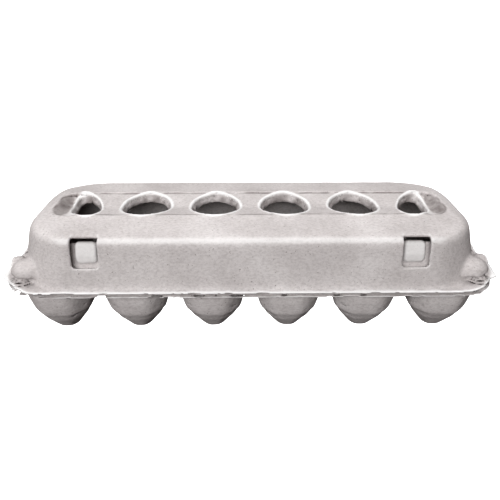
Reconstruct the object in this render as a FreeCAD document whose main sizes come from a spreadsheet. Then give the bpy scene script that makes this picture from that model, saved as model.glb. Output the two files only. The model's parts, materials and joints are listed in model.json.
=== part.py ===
"""Moulded pulp egg carton for a dozen eggs, two rows of six, closed.

Millimetres. +X runs along the carton, +Y to the back where the lid is hinged, +Z up.
The origin is on the table under the middle of the carton.
"""
import FreeCAD, Part
import math
import os
import Sketcher

CUPS_PER_ROW = 6

doc = FreeCAD.newDocument("EggCarton")
sheet = doc.addObject("Spreadsheet::Sheet", "Dims")


# ---------------------------------------------------------------- driving dimensions

class Size:
    """A length, with the spreadsheet formula that gives it."""

    def __init__(self, number, formula):
        self.number = number
        self.formula = formula

    def combined(self, other, sign):
        other = as_size(other)
        results = {
            "+": self.number + other.number,
            "-": self.number - other.number,
            "*": self.number * other.number,
        }
        return Size(results[sign], f"({self.formula} {sign} {other.formula})")

    def __add__(self, other):
        return self.combined(other, "+")

    def __sub__(self, other):
        return self.combined(other, "-")

    def __mul__(self, other):
        return self.combined(other, "*")

    def __neg__(self):
        return self.combined(-1.0, "*")


def as_size(value):
    """A plain number as a Size with nothing behind it."""
    return value if isinstance(value, Size) else Size(float(value), f"({float(value)})")


def driving(alias, number):
    """Add one driving dimension to the sheet."""
    row = len(driving.aliases) + 1
    driving.aliases.append(alias)
    sheet.set(f"A{row}", alias)
    sheet.set(f"B{row}", str(number))
    sheet.setAlias(f"B{row}", alias)
    return Size(number, f"Dims.{alias}")


driving.aliases = []

pulp = driving("PulpThickness", 2.0)
gap = driving("MovingGap", 0.3)
cell_pitch = driving("CellPitch", 47.0)

# the bottom: rim, web between the cells, cups and posts
deck_top = driving("DeckTop", 38.0)
rim_length = driving("RimHalfLength", 148.0)
rim_depth = driving("RimHalfDepth", 54.0)
rim_corner = driving("RimCornerRadius", 27.0)
hinge_relief = driving("HingeReliefHalfDepth", 50.5)
cup_foot = driving("CupFootRadius", 5.0)
cup_waist = driving("CupWaistRadius", 15.0)
cup_waist_height = driving("CupWaistHeight", 14.0)
cup_shoulder = driving("CupShoulderRadius", 20.2)
cup_shoulder_height = driving("CupShoulderHeight", 26.0)
cup_mouth = driving("CupMouthRadius", 22.6)
post_base = driving("PostBaseRadius", 10.0)
post_tip = driving("PostTipRadius", 4.0)
post_top = driving("PostTop", 66.0)

# the lid: flange, walls, sloping shoulder, shallow panel in the top
lid_flange_length = driving("LidFlangeHalfLength", 147.0)
lid_foot_length = driving("LidFootHalfLength", 139.0)
lid_foot_depth = driving("LidFootHalfDepth", 50.2)
lid_corner = driving("LidCornerRadius", 34.0)
shoulder_height = driving("ShoulderHeight", 71.0)
shoulder_length = driving("ShoulderHalfLength", 131.5)
shoulder_depth = driving("ShoulderHalfDepth", 46.0)
crown_height = driving("CrownHeight", 73.6)
crown_length = driving("CrownHalfLength", 122.5)
crown_depth = driving("CrownHalfDepth", 19.4)
panel_mouth_length = driving("PanelMouthHalfLength", 123.5)
panel_mouth_depth = driving("PanelMouthHalfDepth", 23.0)
valley_height = driving("ValleyHeight", 70.0)
valley_length = driving("ValleyHalfLength", 112.0)
valley_depth = driving("ValleyHalfDepth", 1.5)

# the oval holes in the panel, and the latch windows in the front wall
hole_pitch = driving("HolePitch", 43.3)
hole_width = driving("HoleHalfWidth", 15.2)
hole_depth = driving("HoleHalfDepth", 18.0)
hole_corner = driving("HoleCornerRadius", 14.6)
end_hole_centre = driving("EndHoleCentre", 103.0)
end_hole_width = driving("EndHoleHalfWidth", 9.8)
end_hole_corner = driving("EndHoleCornerRadius", 9.0)
window_centre = driving("WindowCentre", 93.0)
window_width = driving("WindowHalfWidth", 8.0)
window_sill = driving("WindowSillHeight", 53.4)
window_back = driving("WindowHeadDepth", 42.0)

# the creases that the lid and the lock flap fold on
lid_bead = driving("LidBeadRadius", 1.6)
lid_bead_length = driving("LidBeadHalfLength", 118.0)
flap_bead = driving("FlapBeadRadius", 1.0)
flap_axis_depth = driving("FlapAxisDepth", 46.0)
flap_length = driving("FlapHalfLength", 104.0)
flap_foot_depth = driving("FlapFootDepth", 46.6)
flap_head_depth = driving("FlapHeadDepth", 39.6)
flap_head = driving("FlapHeadHeight", 67.8)
button_width = driving("ButtonHalfWidth", 6.2)
button_sill = driving("ButtonSillHeight", 54.4)
button_nose = driving("ButtonNoseHeight", 57.5)
button_reach = driving("ButtonReachDepth", 44.3)

deck_underside = deck_top - pulp
lid_underside = deck_top + gap
lid_flange_top = lid_underside + pulp
cell_row = cell_pitch * 0.5
lid_axis_depth = rim_depth - lid_bead
lid_axis_height = deck_top + gap * 0.5
flap_axis_height = deck_top + gap + flap_bead


# ---------------------------------------------------------------- sketch and feature helpers

def origin_plane(body, role):
    """One of the body's own origin planes."""
    return next(plane for plane in body.Origin.OriginFeatures if plane.Role == role)


def sketch_on(body, name, role="XY_Plane", offset=0.0):
    """A sketch on an origin plane of the body, moved along the plane's normal."""
    sketch = body.newObject("Sketcher::SketchObject", name)
    sketch.AttachmentSupport = [(origin_plane(body, role), "")]
    sketch.MapMode = "FlatFace"
    sketch.setExpression("AttachmentOffset.Base.z", as_size(offset).formula)
    return sketch


def constrain(sketch, shape_rules, sizes):
    """Add the plain constraints, then the sizes, each (constraint, size) tied to the sheet."""
    sketch.addConstraint(shape_rules + [constraint for constraint, size in sizes])
    first = sketch.ConstraintCount - len(sizes)
    for index, (constraint, size) in enumerate(sizes, start=first):
        name = f"Size{index}"
        sketch.renameConstraint(index, name)
        sketch.setExpression(f"Constraints.{name}", size.formula)


def place_of(geometry, point, across, up):
    """The two sizes that hold a point of the sketch at (across, up) from its origin."""
    pairs = (("DistanceX", as_size(across)), ("DistanceY", as_size(up)))
    return [(Sketcher.Constraint(kind, -1, 1, geometry, point, size.number), size)
            for kind, size in pairs]


def polygon(sketch, corners):
    """A closed outline of straight lines through the corners."""
    places = [FreeCAD.Vector(as_size(a).number, as_size(b).number, 0) for a, b in corners]
    count = len(places)
    sides, joins, sizes = [], [], []
    for i in range(count):
        side = Part.LineSegment(places[i], places[(i + 1) % count])
        sides.append(sketch.addGeometry(side))
    for i in range(count):
        joins.append(Sketcher.Constraint("Coincident", sides[i], 2, sides[(i + 1) % count], 1))
        sizes += place_of(sides[i], 1, *corners[i])
    constrain(sketch, joins, sizes)


def circle(sketch, radius, across=0.0, up=0.0):
    """A circle with its centre at (across, up)."""
    centre = FreeCAD.Vector(as_size(across).number, as_size(up).number, 0)
    index = sketch.addGeometry(Part.Circle(centre, FreeCAD.Vector(0, 0, 1), radius.number))
    width = (Sketcher.Constraint("Radius", index, radius.number), radius)
    constrain(sketch, [], [width] + place_of(index, 3, across, up))


def rounded_rectangle(sketch, half_x, half_y, corner, across=0.0, up=0.0):
    """A rectangle with round corners, its middle at (across, up)."""
    across, up = as_size(across), as_size(up)
    left, right = (across - half_x), (across + half_x)
    low, high = (up - half_y), (up + half_y)
    near_x, far_x = (left + corner).number, (right - corner).number
    near_y, far_y = (low + corner).number, (high - corner).number
    vector = FreeCAD.Vector
    sides = (
        (vector(near_x, low.number), vector(far_x, low.number)),
        (vector(right.number, near_y), vector(right.number, far_y)),
        (vector(far_x, high.number), vector(near_x, high.number)),
        (vector(left.number, far_y), vector(left.number, near_y)),
    )
    middles = (vector(far_x, near_y), vector(far_x, far_y), vector(near_x, far_y), vector(near_x, near_y))
    lines, arcs, joins, sizes = [], [], [], []
    for i in range(4):
        lines.append(sketch.addGeometry(Part.LineSegment(*sides[i])))
        whole = Part.Circle(middles[i], vector(0, 0, 1), corner.number)
        turn = math.pi / 2
        arcs.append(sketch.addGeometry(Part.ArcOfCircle(whole, (i - 1) * turn, i * turn)))
    for i in range(4):
        joins.append(Sketcher.Constraint("Tangent", lines[i], 2, arcs[i], 1))
        joins.append(Sketcher.Constraint("Tangent", arcs[i], 2, lines[(i + 1) % 4], 1))
        joins.append(Sketcher.Constraint(("Horizontal", "Vertical")[i % 2], lines[i]))
        sizes.append((Sketcher.Constraint("Radius", arcs[i], corner.number), corner))
    for line, kind, size in (
        (lines[0], "DistanceY", low), (lines[1], "DistanceX", right),
        (lines[2], "DistanceY", high), (lines[3], "DistanceX", left),
    ):
        sizes.append((Sketcher.Constraint(kind, -1, 1, line, 1, size.number), size))
    constrain(sketch, joins, sizes)


def rectangle(sketch, half_x, half_y, across=0.0, up=0.0):
    """A sharp-cornered rectangle with its middle at (across, up)."""
    across, up = as_size(across), as_size(up)
    polygon(sketch, (
        (across - half_x, up - half_y), (across + half_x, up - half_y),
        (across + half_x, up + half_y), (across - half_x, up + half_y),
    ))


def new_body(label, across=0.0, depth=0.0, height=0.0):
    """A body of its own, standing at (across, depth, height)."""
    body = doc.addObject("PartDesign::Body", label)
    body.Label = label
    for axis, size in zip("xyz", (across, depth, height)):
        body.setExpression(f"Placement.Base.{axis}", as_size(size).formula)
    return body


def pad(body, sketch, length, name="Pad"):
    """Add the sketch, raised along its plane's normal."""
    feature = body.newObject("PartDesign::Pad", name)
    feature.Profile = sketch
    feature.setExpression("Length", as_size(length).formula)
    return feature


def pocket(body, sketch, name="Pocket"):
    """Cut the sketch through everything, both ways."""
    feature = body.newObject("PartDesign::Pocket", name)
    feature.Profile = sketch
    feature.Type = "ThroughAll"
    feature.Midplane = True
    return feature


def revolution(body, sketch):
    """Turn the sketch about its own upright axis."""
    feature = body.newObject("PartDesign::Revolution", "Revolution")
    feature.Profile = sketch
    feature.ReferenceAxis = (sketch, ["V_Axis"])
    feature.Angle = 360.0
    return feature


def combine(kind, name, *pieces):
    """Part's own boolean: MultiFuse or MultiCommon of all, or Cut of the first by the second."""
    result = doc.addObject(f"Part::{kind}", name)
    if kind == "Cut":
        result.Base, result.Tool = pieces
    else:
        result.Shapes = list(pieces)
    return result


def frustum(name, low, high):
    """A block with sloping sides between two levels, each (height, half_x, half_y)."""
    block = doc.addObject("Part::Wedge", name)
    rise = high[0] - low[0]
    for prefix, (height, half_x, half_y) in (("", low), ("2", high)):
        block.setExpression(f"X{prefix}min", (-half_x).formula)
        block.setExpression(f"X{prefix}max", half_x.formula)
        block.setExpression(f"Z{prefix}min", (-half_y).formula)
        block.setExpression(f"Z{prefix}max", half_y.formula)
    block.Ymin = 0.0
    block.setExpression("Ymax", rise.formula)
    block.Placement = FreeCAD.Placement(FreeCAD.Vector(), FreeCAD.Rotation(FreeCAD.Vector(1, 0, 0), 90))
    block.setExpression("Placement.Base.z", low[0].formula)
    return block


def prism(name, height, rise, outline, *sizes):
    """An upright block whose outline one of the sketch helpers draws, from a height up."""
    sketch = doc.addObject("Sketcher::SketchObject", name + "Outline")
    sketch.setExpression("Placement.Base.z", as_size(height).formula)
    outline(sketch, *sizes)
    block = doc.addObject("Part::Extrusion", name)
    block.Base = sketch
    block.DirMode = "Normal"
    block.Solid = True
    block.setExpression("LengthFwd", as_size(rise).formula)
    return block


# ---------------------------------------------------------------- the bottom

def cell_columns():
    """The X of each egg cell along a row."""
    return [cell_pitch * (i - (CUPS_PER_ROW - 1) / 2) for i in range(CUPS_PER_ROW)]


def post_columns():
    """The X of each post, where four cells meet."""
    return [cell_pitch * (i - (CUPS_PER_ROW - 2) / 2) for i in range(CUPS_PER_ROW - 1)]


def make_tray_deck():
    """The rim and the web between the cells, one sheet with the cells' mouths cut out."""
    body = new_body("tray_deck")
    outline = sketch_on(body, "RimOutline", offset=deck_underside)
    rounded_rectangle(outline, rim_length, rim_depth, rim_corner)
    pad(body, outline, pulp)
    mouths = sketch_on(body, "CellMouths", offset=deck_underside)
    for column in cell_columns():
        for row in (-cell_row, cell_row):
            circle(mouths, cup_mouth - pulp, column, row)
    for column in post_columns():
        circle(mouths, post_base - pulp, column, 0.0)
    pocket(body, mouths, "CellPocket")
    relief = sketch_on(body, "HingeRelief", offset=deck_underside)
    crease_side = rim_depth - lid_bead * 2
    polygon(relief, (
        (-lid_bead_length, crease_side), (lid_bead_length, crease_side),
        (lid_bead_length, rim_depth + pulp), (-lid_bead_length, rim_depth + pulp),
    ))
    pocket(body, relief, "HingePocket")
    return body


def make_egg_cup(label, column, row):
    """One tapered cell with a small foot, open at the top, as thick as the rest of the pulp."""
    body = new_body(label, column, row)
    profile = sketch_on(body, "CupProfile", "XZ_Plane")
    polygon(profile, (
        (0.0, 0.0),
        (cup_foot, 0.0),
        (cup_waist, cup_waist_height),
        (cup_shoulder, cup_shoulder_height),
        (cup_mouth, deck_underside),
        (cup_mouth - pulp, deck_underside),
        (cup_shoulder - pulp, cup_shoulder_height + pulp * 0.25),
        (cup_waist - pulp, cup_waist_height + pulp * 0.6),
        (cup_foot - pulp, pulp * 1.3),
        (0.0, pulp * 1.3),
    ))
    revolution(body, profile)
    return body


def make_post(label, column):
    """One hollow cone where four cells meet, closed at its tip."""
    body = new_body(label, column)
    profile = sketch_on(body, "PostProfile", "XZ_Plane")
    polygon(profile, (
        (post_base - pulp, deck_top),
        (post_base, deck_top),
        (post_tip, post_top),
        (0.0, post_top),
        (0.0, post_top - pulp),
        (post_tip - pulp * 0.5, post_top - pulp),
    ))
    revolution(body, profile)
    return body


def make_lid_hinge_bead():
    """The crease at the back that the lid folds on: a round bead on a strip of the rim."""
    body = new_body("lid_hinge_bead")
    strip = sketch_on(body, "CreaseStrip", "YZ_Plane", -lid_bead_length)
    crease_side = rim_depth - lid_bead * 2
    polygon(strip, (
        (crease_side, deck_underside), (lid_axis_depth, deck_underside),
        (lid_axis_depth, deck_top), (crease_side, deck_top),
    ))
    pad(body, strip, lid_bead_length * 2, "StripPad")
    bead = sketch_on(body, "BeadCircle", "YZ_Plane", -lid_bead_length)
    circle(bead, lid_bead, lid_axis_depth, lid_axis_height)
    pad(body, bead, lid_bead_length * 2, "BeadPad")
    return body


# ---------------------------------------------------------------- the lock flap

def make_flap_hinge_web():
    """The crease at the front that the lock flap folds on."""
    body = new_body("flap_hinge_web")
    bead = sketch_on(body, "WebCircle", "YZ_Plane", -flap_length)
    circle(bead, flap_bead, -flap_axis_depth, flap_axis_height)
    pad(body, bead, flap_length * 2)
    return body


def make_lock_flap():
    """The upright inner flap, leaning a little into the carton."""
    body = new_body("lock_flap")
    section = sketch_on(body, "FlapSection", "YZ_Plane", -flap_length)
    foot = flap_axis_height + flap_bead
    polygon(section, (
        (-flap_foot_depth, foot), (-flap_foot_depth + pulp, foot),
        (-flap_head_depth + pulp, flap_head), (-flap_head_depth, flap_head),
    ))
    pad(body, section, flap_length * 2)
    return body


def flap_front_depth(height):
    """The Y of the flap's outer face at a height, as a Size."""
    foot = flap_axis_height + flap_bead
    share = (height.number - foot.number) / (flap_head.number - foot.number)
    return (-flap_foot_depth) + (flap_foot_depth - flap_head_depth) * share


def make_lock_button(label, side):
    """A raised wedge on the flap, with a flat catch face below."""
    body = new_body(label)
    start = (window_centre * side) - button_width
    section = sketch_on(body, "WedgeSection", "YZ_Plane", start)
    polygon(section, (
        (flap_front_depth(button_sill), button_sill),
        (-button_reach, button_sill),
        (-button_reach, button_nose),
        (flap_front_depth(flap_head), flap_head),
    ))
    pad(body, section, button_width * 2)
    return body


# ---------------------------------------------------------------- the lid

def make_lid_block(name, drop):
    """The lid's solid form, or its hollow when it is made smaller by drop on every side."""
    foot = (lid_underside, lid_foot_length - drop, lid_foot_depth - drop)
    shoulder = (shoulder_height - drop, shoulder_length - drop, shoulder_depth - drop)
    crown = (crown_height - drop, crown_length - drop, crown_depth - drop)
    walls = frustum(name + "Walls", foot, shoulder)
    slopes = frustum(name + "Slopes", shoulder, crown)
    sharp = combine("MultiFuse", name + "Sharp", walls, slopes)
    corners = prism(name + "Corners", lid_underside, crown_height - lid_underside,
                    rounded_rectangle, foot[1], foot[2], lid_corner - drop)
    return combine("MultiCommon", name, sharp, corners)


def make_lid_openings():
    """What is cut out of the lid: the shallow panel, its six holes and the two windows."""
    above = pulp * 0.5
    cuts = [frustum("Panel", (valley_height, valley_length, valley_depth),
                    (crown_height + above, panel_mouth_length, panel_mouth_depth))]
    hole_height = valley_height - pulp * 2
    hole_rise = pulp * 5
    for side in (-1, 1):
        for step in (0.5, 1.5):
            cuts.append(prism("Hole", hole_height, hole_rise, rounded_rectangle,
                              hole_width, hole_depth, hole_corner, hole_pitch * (step * side)))
        cuts.append(prism("EndHole", hole_height, hole_rise, rounded_rectangle,
                          end_hole_width, hole_depth, end_hole_corner, end_hole_centre * side))
        window_middle = (window_back + rim_depth) * -0.5
        cuts.append(prism("Window", window_sill, crown_height + above - window_sill, rectangle,
                          window_width, (rim_depth - window_back) * 0.5,
                          window_centre * side, window_middle))
    return combine("MultiFuse", "LidOpenings", *cuts)


def make_lid_flange():
    """The flat edge round the lid's foot, cut back at the crease behind."""
    def ring(sketch):
        half_wall = pulp * 0.5
        rounded_rectangle(sketch, lid_flange_length, rim_depth, rim_corner)
        rounded_rectangle(sketch, lid_foot_length - half_wall, lid_foot_depth - half_wall,
                          lid_corner - half_wall)

    whole = prism("FlangeRing", lid_underside, pulp, ring)
    relief_middle = (hinge_relief + rim_depth + pulp) * 0.5
    relief = prism("FlangeRelief", deck_top, pulp * 3, rectangle, rim_length,
                   (rim_depth + pulp - hinge_relief) * 0.5, 0.0, relief_middle)
    return combine("Cut", "LidFlange", whole, relief)


def make_lid_shell():
    """The long cover: flange, drafted walls, sloping shoulder and the panel with its holes."""
    below = pulp * 0.5
    underside = frustum("PanelUnderside", (valley_height - pulp, valley_length, valley_depth),
                        (crown_height - below, panel_mouth_length, panel_mouth_depth))
    hollow = combine("Cut", "LidHollow", make_lid_block("Inside", pulp), underside)
    cover = combine("Cut", "LidCover", make_lid_block("Outside", as_size(0.0)), hollow)
    opened = combine("Cut", "LidOpened", cover, make_lid_openings())
    shell = combine("MultiFuse", "lid_shell", opened, make_lid_flange())
    shell.Label = "lid_shell"
    return shell


# ---------------------------------------------------------------- build, check and write

parts = [make_tray_deck()]
for row_name, row in (("front", -cell_row), ("rear", cell_row)):
    for number, column in enumerate(cell_columns(), start=1):
        parts.append(make_egg_cup(f"egg_cup_{row_name}_{number}", column, row))
for number, column in enumerate(post_columns(), start=1):
    parts.append(make_post(f"centre_post_{number}", column))
parts.append(make_lid_hinge_bead())
parts.append(make_flap_hinge_web())
parts.append(make_lock_flap())
parts.append(make_lock_button("lock_button_left", -1))
parts.append(make_lock_button("lock_button_right", 1))
parts.append(make_lid_shell())

doc.recompute()

for item in doc.Objects:
    if "Invalid" in item.State or "Error" in item.State:
        raise RuntimeError(f"{item.Label} did not build: {item.State}")

os.makedirs("parts", exist_ok=True)
for part in parts:
    shape = part.Shape
    if shape.isNull() or not shape.isValid() or len(shape.Solids) != 1:
        raise RuntimeError(f"{part.Label} is not one sound solid")
    box = shape.BoundBox
    print(f"{part.Label:20s} {shape.Volume:10.1f} mm3  x {box.XMin:.1f}..{box.XMax:.1f}"
          f"  y {box.YMin:.1f}..{box.YMax:.1f}  z {box.ZMin:.1f}..{box.ZMax:.1f}")
for part in parts:
    part.Shape.exportStep(f"parts/{part.Label}.step")
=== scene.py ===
"""Moulded pulp egg carton: every region of the moulding as a meshed pulp shell round the frame."""
import json
import math

import bpy
import numpy as np
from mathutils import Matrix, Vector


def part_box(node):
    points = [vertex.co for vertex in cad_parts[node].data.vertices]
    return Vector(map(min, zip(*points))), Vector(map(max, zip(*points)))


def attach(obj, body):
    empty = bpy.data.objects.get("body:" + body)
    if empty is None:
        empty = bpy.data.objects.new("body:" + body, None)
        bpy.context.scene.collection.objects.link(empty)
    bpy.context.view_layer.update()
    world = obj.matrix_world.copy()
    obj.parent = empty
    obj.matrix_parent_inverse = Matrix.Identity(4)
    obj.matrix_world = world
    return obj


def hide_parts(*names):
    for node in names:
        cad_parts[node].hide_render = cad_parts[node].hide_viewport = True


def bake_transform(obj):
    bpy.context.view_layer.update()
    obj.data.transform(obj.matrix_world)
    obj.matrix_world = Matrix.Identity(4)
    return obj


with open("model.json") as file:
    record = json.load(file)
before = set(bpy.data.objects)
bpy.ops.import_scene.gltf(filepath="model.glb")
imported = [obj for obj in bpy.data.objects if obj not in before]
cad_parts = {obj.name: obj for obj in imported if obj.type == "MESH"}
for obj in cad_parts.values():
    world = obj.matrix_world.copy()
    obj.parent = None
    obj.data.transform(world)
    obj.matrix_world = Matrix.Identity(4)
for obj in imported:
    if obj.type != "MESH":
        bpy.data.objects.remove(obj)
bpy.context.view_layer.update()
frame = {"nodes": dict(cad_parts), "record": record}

MM = 0.001

# ---------------------------------------------------------------- places from the frame, in mm


def node_box(name):
    """A node's lowest and highest corners in mm."""
    low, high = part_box(name)
    return np.array(low) / MM, np.array(high) / MM


_, DECK_HIGH = node_box("tray_deck")
CUP_LOW, CUP_HIGH = node_box("egg_cup_front_1")
NEXT_CUP_LOW, _ = node_box("egg_cup_front_2")
LID_LOW, LID_HIGH = node_box("lid_shell")
FLAP_LOW, FLAP_HIGH = node_box("lock_flap")
BUTTON_LOW, BUTTON_HIGH = node_box("lock_button_right")
WEB_LOW, WEB_HIGH = node_box("flap_hinge_web")
_, BEAD_HIGH = node_box("lid_hinge_bead")


def opening_boxes(prefix):
    """The record's openings whose names start with prefix, from left to right, in mm."""
    found = [o["box_m"] for o in frame["record"]["physics"]["openings"] if o["name"].startswith(prefix)]
    return sorted((np.array(box) / MM).tolist() for box in found)


HOLES = opening_boxes("view_hole")
WINDOWS = opening_boxes("latch_window")
PITCH = NEXT_CUP_LOW[0] - CUP_LOW[0]
CUP_COLUMNS = [PITCH * (i - 2.5) for i in range(6)]
POST_COLUMNS = [PITCH * (i - 2) for i in range(5)]
CUP_ROW = (CUP_LOW[1] + CUP_HIGH[1]) / -2
RIM_LENGTH, RIM_DEPTH = DECK_HIGH[0], DECK_HIGH[1]
DECK_TOP = DECK_HIGH[2]
LID_FOOT_HEIGHT = LID_LOW[2]
CROWN_HEIGHT = LID_HIGH[2]

THICK = 2.0


# ---------------------------------------------------------------- small field tools

def smooth_step(x, low, high):
    """0 below low, 1 above high and an S between."""
    t = np.clip((x - low) / (high - low), 0.0, 1.0)
    return t * t * (3.0 - 2.0 * t)


def smooth_max(a, b, k):
    """The larger of two fields, rounded where they are within k of each other."""
    h = np.clip(k - np.abs(a - b), 0.0, None) / k
    return np.maximum(a, b) + h * h * k * 0.25


def smooth_min(a, b, k):
    """The smaller of two fields, rounded where they are within k of each other."""
    return -smooth_max(-a, -b, k)


def lattice_noise(seed, scale, *coordinates):
    """Smooth noise from -1 to 1 with bumps about scale across, the same for the same seed."""
    rng = np.random.RandomState(seed)
    size = 64
    lattice = rng.uniform(-1.0, 1.0, (size,) * len(coordinates))
    cells, blends = [], []
    for c in coordinates:
        c = np.asarray(c, dtype=float) / scale + 1000.0
        cell = np.floor(c).astype(int)
        share = c - cell
        cells.append(cell)
        blends.append(share * share * (3.0 - 2.0 * share))
    total = 0.0
    for corner in range(2 ** len(coordinates)):
        weight, index = 1.0, []
        for axis, (cell, share) in enumerate(zip(cells, blends)):
            high = (corner >> axis) & 1
            weight = weight * (share if high else 1.0 - share)
            index.append((cell + high) % size)
        total = total + weight * lattice[tuple(np.broadcast_arrays(*index))]
    return total


def rounded_box(x, y, half_x, half_y, corner):
    """Distance in plan to a rectangle with round corners, negative inside."""
    qx = np.abs(x) - (half_x - corner)
    qy = np.abs(y) - (half_y - corner)
    outside = np.hypot(np.maximum(qx, 0.0), np.maximum(qy, 0.0))
    return outside + np.minimum(np.maximum(qx, qy), 0.0) - corner


def slope_factor(height, step):
    """Turns a height difference over a sloping sheet into a distance from it."""
    gx, gy = np.gradient(height, step)
    return 1.0 / np.sqrt(1.0 + gx * gx + gy * gy)


class Grid:
    """A box of sample points, step mm apart, with open axes that broadcast."""

    def __init__(self, low, high, step):
        self.step = step
        self.low = np.array(low, dtype=float)
        counts = [int(math.ceil((b - a) / step)) + 1 for a, b in zip(low, high)]
        axes = [a + step * np.arange(n) for a, n in zip(low, counts)]
        self.x = axes[0][:, None, None]
        self.y = axes[1][None, :, None]
        self.z = axes[2][None, None, :]
        self.plan_x = axes[0][:, None]
        self.plan_y = axes[1][None, :]


def surface_nets(grid, field):
    """The zero surface of a field as vertices in mm and quads, one vertex to a crossed cell."""
    inside = field < 0.0
    corner_sum = np.zeros(tuple(n - 1 for n in field.shape), dtype=np.int8)
    shifts = [(i, j, k) for i in (0, 1) for j in (0, 1) for k in (0, 1)]

    def corner_view(array, shift):
        cut = tuple(slice(s, n - 1 + s) for s, n in zip(shift, field.shape))
        return array[cut]

    for shift in shifts:
        corner_sum += corner_view(inside, shift)
    active = (corner_sum > 0) & (corner_sum < 8)
    cells = np.argwhere(active)
    numbers = np.full(active.shape, -1, dtype=np.int64)
    numbers[active] = np.arange(len(cells))
    total = np.zeros((len(cells), 3))
    count = np.zeros(len(cells))
    for axis in range(3):
        for start in shifts:
            if start[axis]:
                continue
            end = list(start)
            end[axis] = 1
            a = corner_view(field, start)[active]
            b = corner_view(field, tuple(end))[active]
            crossed = (a < 0.0) != (b < 0.0)
            share = np.where(crossed, a / np.where(crossed, a - b, 1.0), 0.0)
            point = np.tile(np.array(start, dtype=float), (len(cells), 1))
            point[:, axis] += share
            total += point * crossed[:, None]
            count += crossed
    vertices = grid.low + (cells + total / count[:, None]) * grid.step
    quads = []
    for axis in range(3):
        u, v = [a for a in range(3) if a != axis]
        first = [slice(None)] * 3
        second = [slice(None)] * 3
        first[axis], second[axis] = slice(0, -1), slice(1, None)
        here, there = inside[tuple(first)], inside[tuple(second)]
        edges = np.argwhere(here != there)
        keep = (edges[:, u] > 0) & (edges[:, v] > 0)
        keep &= (edges[:, u] < field.shape[u] - 1) & (edges[:, v] < field.shape[v] - 1)
        edges = edges[keep]
        corners = []
        for du, dv in ((0, 0), (1, 0), (1, 1), (0, 1)):
            cell = edges.copy()
            cell[:, u] -= du
            cell[:, v] -= dv
            corners.append(numbers[tuple(cell.T)])
        faces = np.stack(corners, axis=1)
        flip = here[tuple(edges.T)] if axis != 1 else ~here[tuple(edges.T)]
        faces[~flip] = faces[~flip][:, ::-1]
        quads.append(faces)
    return vertices, np.concatenate(quads)


def largest_island(vertices, quads):
    """The mesh without its loose crumbs: only the faces joined to the largest connected stretch."""
    label = np.arange(len(vertices))
    pairs = np.concatenate([quads[:, [i, (i + 1) % 4]] for i in range(4)])
    while True:
        lowest = label.copy()
        np.minimum.at(lowest, pairs[:, 0], label[pairs[:, 1]])
        np.minimum.at(lowest, pairs[:, 1], label[pairs[:, 0]])
        lowest = lowest[lowest]
        if np.array_equal(lowest, label):
            break
        label = lowest
    kept = label == np.bincount(label).argmax()
    numbers = np.cumsum(kept) - 1
    return vertices[kept], numbers[quads[kept[quads[:, 0]]]]


def mesh_object(name, vertices, faces):
    """A smoothly shaded Blender mesh from vertices in mm."""
    mesh = bpy.data.meshes.new(name)
    mesh.from_pydata((vertices * MM).tolist(), [], faces.tolist())
    mesh.validate()
    mesh.polygons.foreach_set("use_smooth", [True] * len(mesh.polygons))
    mesh.update()
    obj = bpy.data.objects.new(name, mesh)
    bpy.context.scene.collection.objects.link(obj)
    return obj


def paint_edges_and_highlights(obj, shares):
    """Keeps, for each vertex, how much paler it is painted: ragged and rolled edges, paler and fluffier in
    the pulp, and painted highlights.
    """
    layer = obj.data.attributes.new("torn_edge_and_painted_highlight", "FLOAT", "POINT")
    layer.data.foreach_set("value", np.clip(shares, 0.0, 1.0).astype(np.float32))


def paint_shade(obj, shares):
    """Keeps, for each vertex, how much darker it is painted: painted shade in the panel's crease,
    on its end slopes and on the lips of the holes, blotchy like rough pulp."""
    layer = obj.data.attributes.new("painted_shade", "FLOAT", "POINT")
    layer.data.foreach_set("value", np.clip(shares, 0.0, 1.0).astype(np.float32))


def relax(vertices, quads, rounds, pull=0.5):
    """Evens out the mesh by moving each vertex towards the middle of its neighbours."""
    pairs = np.concatenate([quads[:, [i, (i + 1) % 4]] for i in range(4)])
    count = np.bincount(pairs[:, 0], minlength=len(vertices)) \
        + np.bincount(pairs[:, 1], minlength=len(vertices))
    for _ in range(rounds):
        total = np.zeros_like(vertices)
        for axis in range(3):
            total[:, axis] = np.bincount(pairs[:, 0], vertices[pairs[:, 1], axis], len(vertices)) \
                + np.bincount(pairs[:, 1], vertices[pairs[:, 0], axis], len(vertices))
        vertices = vertices + pull * (total / count[:, None] - vertices)
    return vertices


# ---------------------------------------------------------------- the lid

# the CAD lid's own sizes, as half lengths and half depths; PANEL is where its sunk panel meets the
# crown, and LID_CORNER is its corner radius at the foot
LID_FOOT = (139.0, 50.2)
LID_CORNER = 34.0
SHOULDER = (131.5, 46.0)
SHOULDER_HEIGHT = 71.0
CROWN = (122.5, 19.4)
VALLEY_HEIGHT = 70.0
VALLEY_LENGTH = 112.0
PANEL = (121.0, 18.3)
HOLE_HALF = (15.2, 18.0)
END_HOLE_HALF = (9.8, 18.0)

# detail that the CAD lid doesn't have: bumps on the top, the panel's steps, the dents at its ends,
# the slant of the end holes and the rolled lips
BUMP_ROOM = 0.65
REAR_STEP, FRONT_STEP = 1.3, 0.35
END_DEPTH = 1.6
END_HOLE_SHEAR = 0.26
LIP_WIDTH = 1.7
LIP_DROP = 2.9
EDGE_ROUNDING = 5.0
WALL_SLOPE = 0.985
LID_REAR_CUT = 50.6
HOLE_COLUMNS = [(low[0] + high[0]) / 2 for low, high in HOLES]
HOLE_MIDDLE = (HOLES[0][0][1] + HOLES[0][1][1]) / 2
WINDOW_CENTRES = [(low[0] + high[0]) / 2 for low, high in WINDOWS]
WINDOW_HALF = ((WINDOWS[0][1][0] - WINDOWS[0][0][0]) / 2, 9.6)
BUTTON_CENTRE = (BUTTON_LOW[0] + BUTTON_HIGH[0]) / 2
WINDOW_SILL = 53.4


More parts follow.
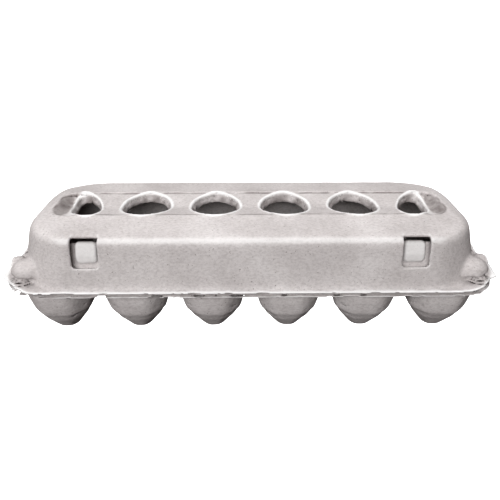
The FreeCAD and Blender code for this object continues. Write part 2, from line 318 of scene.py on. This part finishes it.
def roof_height(x, y):
    """The lid's top without its panel: nearly flat crown, gentle slopes down to the shoulder."""
    u = np.maximum((np.abs(y) - CROWN[1]) / (SHOULDER[1] - CROWN[1]), 0.0)
    v = np.maximum((np.abs(x) - CROWN[0]) / (SHOULDER[0] - CROWN[0]), 0.0)
    fall = np.hypot(u, v)
    return CROWN_HEIGHT - BUMP_ROOM - (CROWN_HEIGHT - SHOULDER_HEIGHT) * fall


def hole_distance(x, y):
    """Distance in plan to the nearest oval hole's outline, negative inside."""
    v = (y - HOLE_MIDDLE) / HOLE_HALF[1]
    best = None
    for column in HOLE_COLUMNS[1:-1]:
        u = (x - column) / HOLE_HALF[0]
        d = (np.sqrt(np.abs(u) ** 1.75 + np.abs(v) ** 2.1) - 1.0) * 15.5
        best = d if best is None else np.minimum(best, d)
    for side in (-1, 1):
        u = (side * x - HOLE_COLUMNS[-1] - END_HOLE_SHEAR * (y - HOLE_MIDDLE)) / END_HOLE_HALF[0]
        v = (y - HOLE_MIDDLE) / END_HOLE_HALF[1]
        d = (np.sqrt(np.abs(u) ** 1.9 + np.abs(v) ** 2.1) - 1.0) * 13.0
        best = np.minimum(best, smooth_max(d, side * x - VALLEY_LENGTH, 2.0))
    return best


def end_slope(x, y):
    """0 on the panel's floor, rising to 1 up the steep slope at each of its ends."""
    foot = VALLEY_LENGTH + 3.5 * (np.abs(y) / PANEL[1]) ** 2
    return np.maximum((np.abs(x) - foot) / (PANEL[0] - VALLEY_LENGTH - 1.5), 0.0)


def panel_edge(x, y):
    """Distance in plan to the wavy outline of the sunk panel, negative inside."""
    wave = lattice_noise(3, 9.0, x, y)
    return rounded_box(x, y, PANEL[0] + 0.3 * wave, PANEL[1] + 0.3 * wave, 11.0)


def lid_top(x, y):
    """The height of the lid's top face, with the panel and the rolled lips of its holes."""
    wave = lattice_noise(4, 9.0, x, y)
    wrinkle = lattice_noise(6, 4.2, x, y)
    roof = roof_height(x, y)
    cross = np.abs(y) / PANEL[1]
    along = end_slope(x, y)
    step = FRONT_STEP + (REAR_STEP - FRONT_STEP) * smooth_step(y, -6.0, 6.0)
    rise = CROWN_HEIGHT - step - VALLEY_HEIGHT
    floor = VALLEY_HEIGHT + rise * smooth_max(cross, along * 1.15, 0.25)
    past_valley = np.abs(x) - VALLEY_LENGTH
    near_end = smooth_step(past_valley, -8.5, -0.5) * smooth_step(-past_valley, -7.5, -1.5)
    floor = floor - END_DEPTH * near_end + 0.16 * wrinkle
    edge = panel_edge(x, y)
    inside = smooth_step(-edge, -0.35, 0.65)
    height = roof + (np.minimum(floor, roof) - roof) * inside
    ridge = 0.3 * np.exp(-((edge - 0.9) / 0.9) ** 2)
    hole = hole_distance(x, y)
    bead = 0.55 * np.exp(-((hole - 0.7) / 0.8) ** 2)
    lip = LIP_DROP * smooth_step(-hole, -0.3, LIP_WIDTH)
    return height + bead + ridge - lip + 0.05 * wave


def make_lid():
    """The whole cover as one shell of pulp."""
    step = 1.0
    grid = Grid((-149, -56, 36.5), (149, 56, 76), step)
    x, y, z = grid.x, grid.y, grid.z
    plan_x, plan_y = grid.plan_x, grid.plan_y

    fallen = np.clip((z - LID_FOOT_HEIGHT) / (SHOULDER_HEIGHT - LID_FOOT_HEIGHT), -0.2, 1.2)
    half_x = LID_FOOT[0] + (SHOULDER[0] - LID_FOOT[0]) * fallen
    half_y = LID_FOOT[1] + (SHOULDER[1] - LID_FOOT[1]) * fallen
    wall = rounded_box(x, y, half_x, half_y, LID_CORNER) * WALL_SLOPE
    bulge = 0.35 * lattice_noise(5, 38.0, plan_x, plan_y)[:, :, None]
    wall = wall + bulge * 0.6

    top = lid_top(plan_x, plan_y)
    factor = slope_factor(top, step)[:, :, None]
    above = (z - top[:, :, None]) * factor
    solid = smooth_max(wall, above, EDGE_ROUNDING)

    rough = lattice_noise(7, 5.0, x, y, z)
    solid = solid + 0.07 * rough
    shell = np.maximum(solid, -(solid + THICK))

    # flange: flat rim with upturned, scalloped ears at the corners
    ear = ear_lift(plan_x, plan_y, 5.6)[:, :, None]
    flange_mid = LID_FOOT_HEIGHT + 1.6 + ear
    outline = rim_outline(plan_x, plan_y, 0.9, 11)[:, :, None]
    inner = rounded_box(x, y, LID_FOOT[0] - 0.6, LID_FOOT[1] - 0.6, LID_CORNER - 0.6)
    rear = (plan_y - LID_REAR_CUT)[:, :, None]
    flange = np.maximum(np.abs(z - flange_mid) - 0.55, outline)
    flange = np.maximum(flange, -inner - 1.0)
    flange = np.maximum(flange, rear)
    below = LID_FOOT_HEIGHT + 0.55 - z + 0.1 * rough
    shell = np.maximum(shell, below)
    shell = smooth_min(shell, flange, 1.8)
    shell = smooth_min(shell, ear_folds(x, y, z), 1.6)
    shell = np.maximum(shell, LID_FOOT_HEIGHT + 0.45 - z)

    # holes cut through the lips, with torn inner edges
    tear = 0.5 * lattice_noise(13, 2.4, x, y, z) + 0.5 * lattice_noise(14, 5.5, x, y, z)
    hole = hole_distance(plan_x, plan_y)[:, :, None]
    through = np.maximum(hole + LIP_WIDTH + tear, 60.0 - z)
    shell = np.maximum(shell, -through)

    # latch windows
    for number, centre in enumerate(WINDOW_CENTRES):
        tear = 0.25 * lattice_noise(17 + number, 2.5, x, y, z)
        middle = WINDOW_SILL + WINDOW_HALF[1]
        window = rounded_box(x - centre, z - middle, *WINDOW_HALF, 1.3)
        window = np.maximum(window + tear, y + 41.8)
        shell = np.maximum(shell, -window)

    vertices, quads = largest_island(*surface_nets(grid, shell))
    vertices = relax(vertices, quads, 1, 0.45)
    lid = mesh_object("lid_shell_pulp", vertices, quads)

    vx, vy, vz = vertices.T
    # painted highlight, together with paler ragged pulp: a pale band round each hole's rim, widened towards
    # the front
    hole = hole_distance(vx, vy)
    patchy = 0.75 + 0.5 * lattice_noise(51, 6.0, vx, vy, vz)
    near_rim = 0.5 * smooth_step(-vy, 8.0, 18.0)
    share = smooth_step(-np.abs(hole - 0.6 - near_rim), -1.2 - near_rim, -0.3) * smooth_step(vz, 67.0, 69.5)
    share = share * np.maximum(patchy, 0.85)
    # painted highlight along the flange's edge
    rim = smooth_step(rim_outline(vx, vy, 0.9, 11), -2.2, -0.6) * smooth_step(-vz, -49.0, -44.0)
    rim = rim * smooth_step(vz, LID_FOOT_HEIGHT + 1.0, LID_FOOT_HEIGHT + 1.4)
    share = np.maximum(share, rim)
    # painted highlight on the flat plateaus at the panel's ends
    past_valley = np.abs(vx) - VALLEY_LENGTH
    plateau = smooth_step(past_valley, -5.0, -3.0) * smooth_step(-past_valley, -0.5, 1.0)
    share = np.maximum(share, 0.35 * plateau * smooth_step(vz, 66.0, 67.0) * (np.abs(vy) < 17.5))
    # painted highlight along the lid's front shoulder
    corner = np.abs(vz - SHOULDER_HEIGHT + 1.6) + 0.7 * np.abs(np.abs(vy) - SHOULDER[1] + 0.8)
    share = np.maximum(share, 0.42 * smooth_step(-corner, -3.2, -0.6) * (0.8 + 0.3 * patchy))
    # painted highlight round each window's frame
    for centre in WINDOW_CENTRES:
        frame_gap = rounded_box(vx - centre, vz - WINDOW_SILL - WINDOW_HALF[1], *WINDOW_HALF, 1.3)
        near = smooth_step(-np.abs(frame_gap), -0.9, -0.2) * smooth_step(-vy, 38.0, 41.0)
        share = np.maximum(share, near * patchy * 0.35)
    paint_edges_and_highlights(lid, share)
    # painted shade: the panel's crease, its end slopes and the lips inside the holes are painted darker
    edge = panel_edge(vx, vy)
    broken = np.clip(0.75 + 0.9 * lattice_noise(53, 5.0, vx, vy), 0.0, 1.0)
    crease = smooth_step(-np.abs(edge + 0.6), -1.0, -0.1) * smooth_step(vz, 68.5, 70.0) * broken
    patch = smooth_step(end_slope(vx, vy), 0.0, 0.15) * smooth_step(-edge, 0.0, 0.8)
    patch = patch * smooth_step(vz, 64.0, 66.0)
    mottle = 0.72 + 0.25 * lattice_noise(55, 2.6, vx, vy)
    painted_shade = np.maximum(crease * 0.95 * smooth_step(hole, 1.2, 2.4), patch * mottle)
    lip = smooth_step(-hole, 0.1, 0.7) * smooth_step(vz, 62.0, 64.0) * (np.abs(vy) < 24.0)
    painted_shade = np.maximum(painted_shade, lip * np.clip(0.45 + 0.5 * lattice_noise(57, 3.0, vx, vy, vz), 0.0, 1.0))
    paint_shade(lid, painted_shade)
    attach(lid, "lid")
    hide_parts("lid_shell")
    return lid


def rim_outline(x, y, ragged, seed):
    """Distance in plan to the rim's wavy outline, negative inside."""
    wave = 0.45 * lattice_noise(seed, 7.0, x, y) + 0.3 * lattice_noise(seed + 1, 2.6, x, y)
    return rounded_box(x, y, RIM_LENGTH - 1.2, RIM_DEPTH - 0.9, 27.0) + ragged * wave


def ear_lift(x, y, height):
    """How far the rim curls up: a nub and a crescent fold at each corner of the carton."""
    ax, ay = np.abs(x), np.abs(y)
    nub = np.exp(-((ax - 145.0) / 5.0) ** 2 - ((ay - 21.0) / 6.5) ** 2)
    crescent = np.exp(-((ax - 134.0) / 6.0) ** 2 - ((ay - 40.0) / 5.5) ** 2)
    edge = 0.35 * np.exp(-((ax - 147.0) / 4.0) ** 2) * smooth_step(-ay, -20.0, 0.0)
    return height * np.clip(nub + 0.8 * crescent + edge, 0.0, 1.1)


def ear_folds(x, y, z):
    """The pouch, the crumpled nub and the flat wing that the pulp folds into at each front corner."""
    crumple = lattice_noise(61, 3.2, x, y, z)
    ax = np.abs(x)
    pouch = np.sqrt(((ax - 130.5) / 9.5) ** 2 + ((y + 36.5) / 9.5) ** 2 + ((z - 46.0) / 7.0) ** 2) - 1.0
    pouch = np.maximum(pouch * 7.0 + 0.25 * crumple, 45.0 - z + 0.12 * (ax - 130.0))
    core = np.sqrt(((ax - 130.5) / 8.0) ** 2 + ((y + 36.5) / 8.0) ** 2 + ((z - 44.0) / 7.0) ** 2) - 1.0
    pouch = np.maximum(pouch, -core * 6.0)
    nub = np.sqrt(((ax - 143.0) / 3.6) ** 2 + ((y + 20.5) / 4.6) ** 2 + ((z - 43.2) / 3.0) ** 2) - 1.0
    nub = nub * 3.0 + 0.45 * crumple
    wing = rounded_box(ax - 144.6, y + 30.0, 2.4, 9.0, 2.0)
    wing = np.maximum(wing + 0.3 * crumple, np.abs(z - 41.2 - 0.4 * crumple) - 0.7)
    return np.minimum(np.minimum(pouch, nub), wing)


# ---------------------------------------------------------------- the tray

CUP_PROFILE = ((0.0, 1.0), (5.0, 1.1), (6.4, 2.1), (13.6, 11.5), (17.4, 18.5), (19.2, 26.0), (21.2, 35.0),
               (23.0, 37.2))
TRAY_REAR_CUT = 51.4
POST_PROFILE = ((0.0, 64.8), (2.6, 64.4), (4.0, 62.0), (8.8, 40.0), (11.5, 37.4), (13.0, 37.0))


def tray_height(x, y):
    """The middle height of the tray's one sheet of pulp: deck, cups and posts."""
    deck = DECK_TOP - 1.0
    height = np.full(np.broadcast(x, y).shape, deck)
    radii, levels = np.array(CUP_PROFILE).T
    for column in CUP_COLUMNS:
        for row in (-CUP_ROW, CUP_ROW):
            dx, dy = x - column, y - row
            angle = np.arctan2(dy, dx)
            ribs = 1.0 + 0.012 * np.cos(8.0 * angle)
            r = (np.abs(dx) ** 2.3 + np.abs(dy) ** 2.3) ** (1 / 2.3) * ribs
            height = smooth_min(height, np.interp(r, radii, levels), 1.2)
    radii, levels = np.array(POST_PROFILE).T
    for column in POST_COLUMNS:
        r = np.hypot(x - column, y)
        post = np.where(r < radii[-1], np.interp(r, radii, levels), 0.0)
        height = smooth_max(height, post, 1.5)
    return height


def make_tray():
    """Deck, twelve cups and five posts as one sheet of pulp with a ragged rim."""
    step = 1.15
    grid = Grid((-149, -56, -1.2), (149, 56, 68), step)
    x, y, z = grid.x, grid.y, grid.z
    plan_x, plan_y = grid.plan_x, grid.plan_y
    height = tray_height(plan_x, plan_y) + ear_lift(plan_x, plan_y, 2.6)
    factor = slope_factor(height, step)[:, :, None]
    rough = lattice_noise(21, 5.0, x, y, z)
    sheet = np.abs(z - height[:, :, None]) * factor - 0.95 + 0.08 * rough
    outline = rim_outline(plan_x, plan_y, 1.3, 23)[:, :, None]
    sheet = smooth_max(sheet, outline + 0.2, 0.6)
    margin = rounded_box(x, y, RIM_LENGTH - 6.5, RIM_DEPTH - 6.0, 22.0)
    sheet = np.where(margin > 0.0, np.maximum(sheet, DECK_TOP - 1.35 - z + 0.25 * rough), sheet)
    sheet = np.maximum(sheet, (plan_y - TRAY_REAR_CUT)[:, :, None])
    sheet = np.maximum(sheet, 0.05 - z)
    vertices, quads = largest_island(*surface_nets(grid, sheet))
    vertices = relax(vertices, quads, 1, 0.45)
    tray = mesh_object("tray_pulp", vertices, quads)
    vx, vy, vz = vertices.T
    # the ragged rim is painted paler along its outline
    share = smooth_step(rim_outline(vx, vy, 1.3, 23), -1.6, -0.2)
    paint_edges_and_highlights(tray, share)
    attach(tray, "tray")
    names = [name for name in frame["nodes"] if name.startswith(("egg_cup", "centre_post"))]
    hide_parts("tray_deck", *names)
    return tray


# ---------------------------------------------------------------- the lock flap and the creases

def make_flap():
    """The leaning inner flap with its two raised buttons."""
    step = 0.7
    grid = Grid((-115, -50, 38.5), (115, -35, 70), step)
    x, y, z = grid.x, grid.y, grid.z
    foot, head = FLAP_LOW[2], FLAP_HIGH[2]
    lean = (FLAP_HIGH[1] - THICK - FLAP_LOW[1]) / (head - foot)

    def front_at(height):
        """Where the leaning flap's front face stands at a height."""
        return FLAP_LOW[1] + (height - foot) * lean

    middle = front_at(z) + THICK / 2
    rough = lattice_noise(31, 4.5, x, y, z)
    top = head - 2.2 + 0.5 * lattice_noise(33, 6.0, x[:, :, 0], y[:, :, 0])[:, :, None]
    panel = np.abs(y - middle) * math.cos(math.atan(lean)) - THICK / 2 + 0.07 * rough
    outline = rounded_box(x, z - (foot + head) / 2, FLAP_HIGH[0] - 0.3, (head - foot) / 2, 5.0)
    flap = smooth_max(panel, np.maximum(outline, z - top), 0.8)
    for side in (-1, 1):
        centre = side * BUTTON_CENTRE
        half_x = (BUTTON_HIGH[0] - BUTTON_LOW[0]) / 2
        low, high = BUTTON_LOW[2], BUTTON_HIGH[2] - 1.2
        face = BUTTON_LOW[1] + 0.15 + np.maximum(z - (low + 5.0), 0.0) * 0.30
        shape = rounded_box(x - centre, z - (low + high) / 2, half_x - 0.1, (high - low) / 2, 2.4)
        block = smooth_max(shape, face - y, 1.6)
        block = np.maximum(block, y - middle)
        flap = smooth_min(flap, block + 0.10 * rough, 0.5)
    vertices, quads = largest_island(*surface_nets(grid, flap))
    vertices = relax(vertices, quads, 1, 0.45)
    piece = mesh_object("lock_flap_pulp", vertices, quads)
    # painted highlight: the buttons' raised faces are painted paler
    button = smooth_step(-vertices[:, 1], -front_at(vertices[:, 2]) + 0.3, -front_at(vertices[:, 2]) + 1.0)
    paint_edges_and_highlights(piece, button * 0.55)
    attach(piece, "flap")
    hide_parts("lock_flap", "lock_button_left", "lock_button_right")
    return piece


def crease_strip(name, route, half_length, thickness, seed):
    """A closed strip of thin pulp along X whose section follows a route of (y, z) points."""
    route = np.array(route, dtype=float)
    tangent = np.gradient(route, axis=0)
    normal = np.stack([-tangent[:, 1], tangent[:, 0]], axis=1)
    normal /= np.linalg.norm(normal, axis=1)[:, None]
    ring = np.concatenate([route + normal * thickness / 2, (route - normal * thickness / 2)[::-1]])
    columns = np.linspace(-half_length, half_length, 150)
    rows = len(ring)
    vertices = []
    for column in columns:
        wobble = 0.12 * lattice_noise(seed, 6.0, np.full(rows, column), np.arange(rows) * 3.0)
        points = ring + wobble[:, None] * 0.6
        vertices.append(np.column_stack([np.full(rows, column), points]))
    vertices = np.concatenate(vertices)
    faces = []
    for i in range(len(columns) - 1):
        for j in range(rows):
            k = (j + 1) % rows
            faces.append((i * rows + j, (i + 1) * rows + j, (i + 1) * rows + k, i * rows + k))
    last = (len(columns) - 1) * rows
    for j in range(len(route) - 1):
        cap = (j, j + 1, rows - 2 - j, rows - 1 - j)
        faces.append(cap)
        faces.append(tuple(last + corner for corner in cap[::-1]))
    strip = mesh_object(name, vertices, np.array(faces))
    paint_edges_and_highlights(strip, np.full(len(vertices), 0.25))
    return strip


def make_creases():
    """The two living hinges, each a thin strip bent between its two panels."""
    axis_y = BEAD_HIGH[1] - 1.6
    axis_z = DECK_TOP + 0.15
    turn = np.linspace(-math.pi / 2, math.pi / 2, 13)
    radius = 1.05
    route = [(axis_y - 2.6, axis_z - radius)]
    route += [(axis_y + radius * math.cos(a) * 0.95, axis_z + radius * math.sin(a)) for a in turn]
    route += [(axis_y - 2.6, axis_z + radius)]
    back = crease_strip("lid_crease_pulp", route, BEAD_HIGH[0], 0.9, 41)
    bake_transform(back)
    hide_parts("lid_hinge_bead")

    web_y = (WEB_LOW[1] + WEB_HIGH[1]) / 2
    web_z = (WEB_LOW[2] + WEB_HIGH[2]) / 2
    route = [(web_y + 0.4, DECK_TOP - 0.4), (web_y - 0.2, web_z - 0.8), (web_y - 0.3, web_z),
             (web_y + 0.1, web_z + 0.9), (web_y + 0.5, web_z + 2.2)]
    front = crease_strip("flap_crease_pulp", route, WEB_HIGH[0], 1.0, 43)
    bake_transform(front)
    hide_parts("flap_hinge_web")
    return back, front


# ---------------------------------------------------------------- material

def make_pulp():
    """Grey recycled pulp: fibres, specks, blotches, paler ragged edges, painted highlights and painted shade.
    """
    material = bpy.data.materials.new("moulded_pulp")
    material.use_nodes = True
    tree = material.node_tree
    nodes, links = tree.nodes, tree.links
    nodes.clear()

    def node(kind, **settings):
        made = nodes.new(kind)
        for key, value in settings.items():
            setattr(made, key, value)
        return made

    out = node("ShaderNodeOutputMaterial")
    shader = node("ShaderNodeBsdfPrincipled")
    shader.inputs["Roughness"].default_value = 0.93
    shader.inputs["Specular IOR Level"].default_value = 0.18
    links.new(shader.outputs[0], out.inputs[0])
    where = node("ShaderNodeTexCoord")

    def noise(scale, detail=3.0, rough=0.55, stretch=None):
        made = node("ShaderNodeTexNoise")
        made.inputs["Scale"].default_value = scale
        made.inputs["Detail"].default_value = detail
        made.inputs["Roughness"].default_value = rough
        source = where.outputs["Object"]
        if stretch:
            mapping = node("ShaderNodeMapping")
            mapping.inputs["Scale"].default_value = stretch
            links.new(source, mapping.inputs[0])
            source = mapping.outputs[0]
        links.new(source, made.inputs["Vector"])
        return made

    def ramp(source, stops):
        made = node("ShaderNodeValToRGB")
        elements = made.color_ramp.elements
        elements[0].position, elements[0].color = stops[0]
        elements[1].position, elements[1].color = stops[-1]
        for position, color in stops[1:-1]:
            elements.new(position).color = color
        links.new(source, made.inputs[0])
        return made

    def mixed(kind, share, a, b):
        made = node("ShaderNodeMix", data_type="RGBA", blend_type=kind)
        if isinstance(share, float):
            made.inputs["Factor"].default_value = share
        else:
            links.new(share, made.inputs["Factor"])
        for socket, value in ((made.inputs["A"], a), (made.inputs["B"], b)):
            if isinstance(value, tuple):
                socket.default_value = value
            else:
                links.new(value, socket)
        return made.outputs["Result"]

    blotch = ramp(noise(26.0, 4.0).outputs["Fac"], (
        (0.34, (0.575, 0.544, 0.538, 1)), (0.52, (0.640, 0.608, 0.602, 1)), (0.70, (0.700, 0.670, 0.664, 1))))
    fibre = ramp(noise(520.0, 3.0, 0.7, (1.0, 1.6, 1.6)).outputs["Fac"], (
        (0.30, (0.80, 0.79, 0.785, 1)), (0.52, (1, 1, 1, 1)), (0.72, (1.12, 1.12, 1.12, 1))))
    colour = mixed("MULTIPLY", 0.75, blotch.outputs["Color"], fibre.outputs["Color"])
    specks = ramp(noise(900.0, 2.0, 0.6).outputs["Fac"], (
        (0.27, (1, 1, 1, 1)), (0.33, (0, 0, 0, 1))))
    colour = mixed("MIX", specks.outputs["Color"], colour, (0.33, 0.30, 0.29, 1))
    # paler ragged edges and painted highlights, read from the mesh
    edge_and_highlight = node("ShaderNodeAttribute", attribute_name="torn_edge_and_painted_highlight")
    colour = mixed("MIX", edge_and_highlight.outputs["Fac"], colour, (0.88, 0.875, 0.87, 1))
    # painted shade from the mesh darkens the crease, the end slopes and the hole lips
    painted_shade = node("ShaderNodeAttribute", attribute_name="painted_shade")
    colour = mixed("MULTIPLY", painted_shade.outputs["Fac"], colour, (0.42, 0.40, 0.395, 1))
    links.new(colour, shader.inputs["Base Color"])

    coarse = noise(190.0, 4.0, 0.62)
    fine = noise(1100.0, 3.0, 0.7, (1.0, 1.5, 1.5))
    first = node("ShaderNodeBump")
    first.inputs["Strength"].default_value = 0.45
    first.inputs["Distance"].default_value = 0.0007
    links.new(coarse.outputs["Fac"], first.inputs["Height"])
    second = node("ShaderNodeBump")
    second.inputs["Strength"].default_value = 0.5
    second.inputs["Distance"].default_value = 0.0002
    links.new(fine.outputs["Fac"], second.inputs["Height"])
    links.new(first.outputs[0], second.inputs["Normal"])
    links.new(second.outputs[0], shader.inputs["Normal"])
    return material


# ---------------------------------------------------------------- camera, floor and light

CAMERA_DROP = math.radians(28.13)
CAMERA_DEPTH, CAMERA_HEIGHT = -292.7, 195.8
FOCAL_SHARE = 502.4 / 500.0
CAMERA_TURN = math.radians(0.55)


def make_camera():
    """The viewpoint: from the front, a little over a carton's length away, looking down."""
    data = bpy.data.cameras.new("camera")
    data.sensor_width = 36.0
    data.lens = 36.0 * FOCAL_SHARE
    data.clip_start, data.clip_end = 0.01, 200.0
    camera = bpy.data.objects.new("camera", data)
    side = CAMERA_DEPTH * math.sin(CAMERA_TURN)
    camera.location = (side * MM, CAMERA_DEPTH * math.cos(CAMERA_TURN) * MM, CAMERA_HEIGHT * MM)
    camera.rotation_euler = (math.pi / 2 - CAMERA_DROP, 0.0, -CAMERA_TURN)
    bpy.context.scene.collection.objects.link(camera)
    bpy.context.scene.camera = camera


def make_floor():
    """A plain white floor that shines at the camera and throws no light on the carton."""
    mesh = bpy.data.meshes.new("floor")
    far = 60.0
    mesh.from_pydata([(-far, -far, 0), (far, -far, 0), (far, far, 0), (-far, far, 0)], [], [(0, 1, 2, 3)])
    floor = bpy.data.objects.new("floor", mesh)
    bpy.context.scene.collection.objects.link(floor)
    material = bpy.data.materials.new("floor_white")
    material.use_nodes = True
    nodes, links = material.node_tree.nodes, material.node_tree.links
    shader = nodes["Principled BSDF"]
    shader.inputs["Base Color"].default_value = (0.35, 0.35, 0.35, 1)
    shader.inputs["Roughness"].default_value = 1.0
    shader.inputs["Specular IOR Level"].default_value = 0.0
    shader.inputs["Emission Color"].default_value = (1, 1, 1, 1)
    shader.inputs["Emission Strength"].default_value = 1.1
    mesh.materials.append(material)
    floor.visible_diffuse = False
    floor.visible_glossy = False


def area_light(name, place, aim, size, power):
    """A soft rectangular lamp at a place, facing a point, in metres."""
    data = bpy.data.lights.new(name, "AREA")
    data.shape = "RECTANGLE"
    data.size, data.size_y = size
    data.energy = power
    lamp = bpy.data.objects.new(name, data)
    lamp.location = place
    ray = np.array(aim) - np.array(place)
    ray = ray / np.linalg.norm(ray)
    lamp.rotation_euler = (math.acos(-ray[2]), 0.0, math.atan2(-ray[0], ray[1]) if ray[0] or ray[1] else 0.0)
    bpy.context.scene.collection.objects.link(lamp)


def make_light():
    """Soft lamps from above, a little behind, and from in front, and a very dim sky."""
    area_light("top_soft", (0.0, 0.30, 1.10), (0, 0, 0.05), (1.4, 0.6), 7.6)
    area_light("front_soft", (-0.35, -1.30, 0.78), (0, 0, 0.05), (1.5, 0.4), 17.0)
    world = bpy.data.worlds.new("studio")
    world.use_nodes = True
    world.node_tree.nodes["Background"].inputs["Color"].default_value = (1, 0.84, 0.82, 1)
    world.node_tree.nodes["Background"].inputs["Strength"].default_value = 0.03
    bpy.context.scene.world = world
    bpy.context.scene.view_settings.view_transform = "Standard"
    bpy.context.scene.view_settings.look = "High Contrast"


# ---------------------------------------------------------------- put together

make_camera()
make_floor()
make_light()
pulp = make_pulp()
made = [make_lid(), make_tray(), make_flap(), *make_creases()]
for piece in made:
    piece.data.materials.clear()
    piece.data.materials.append(pulp)
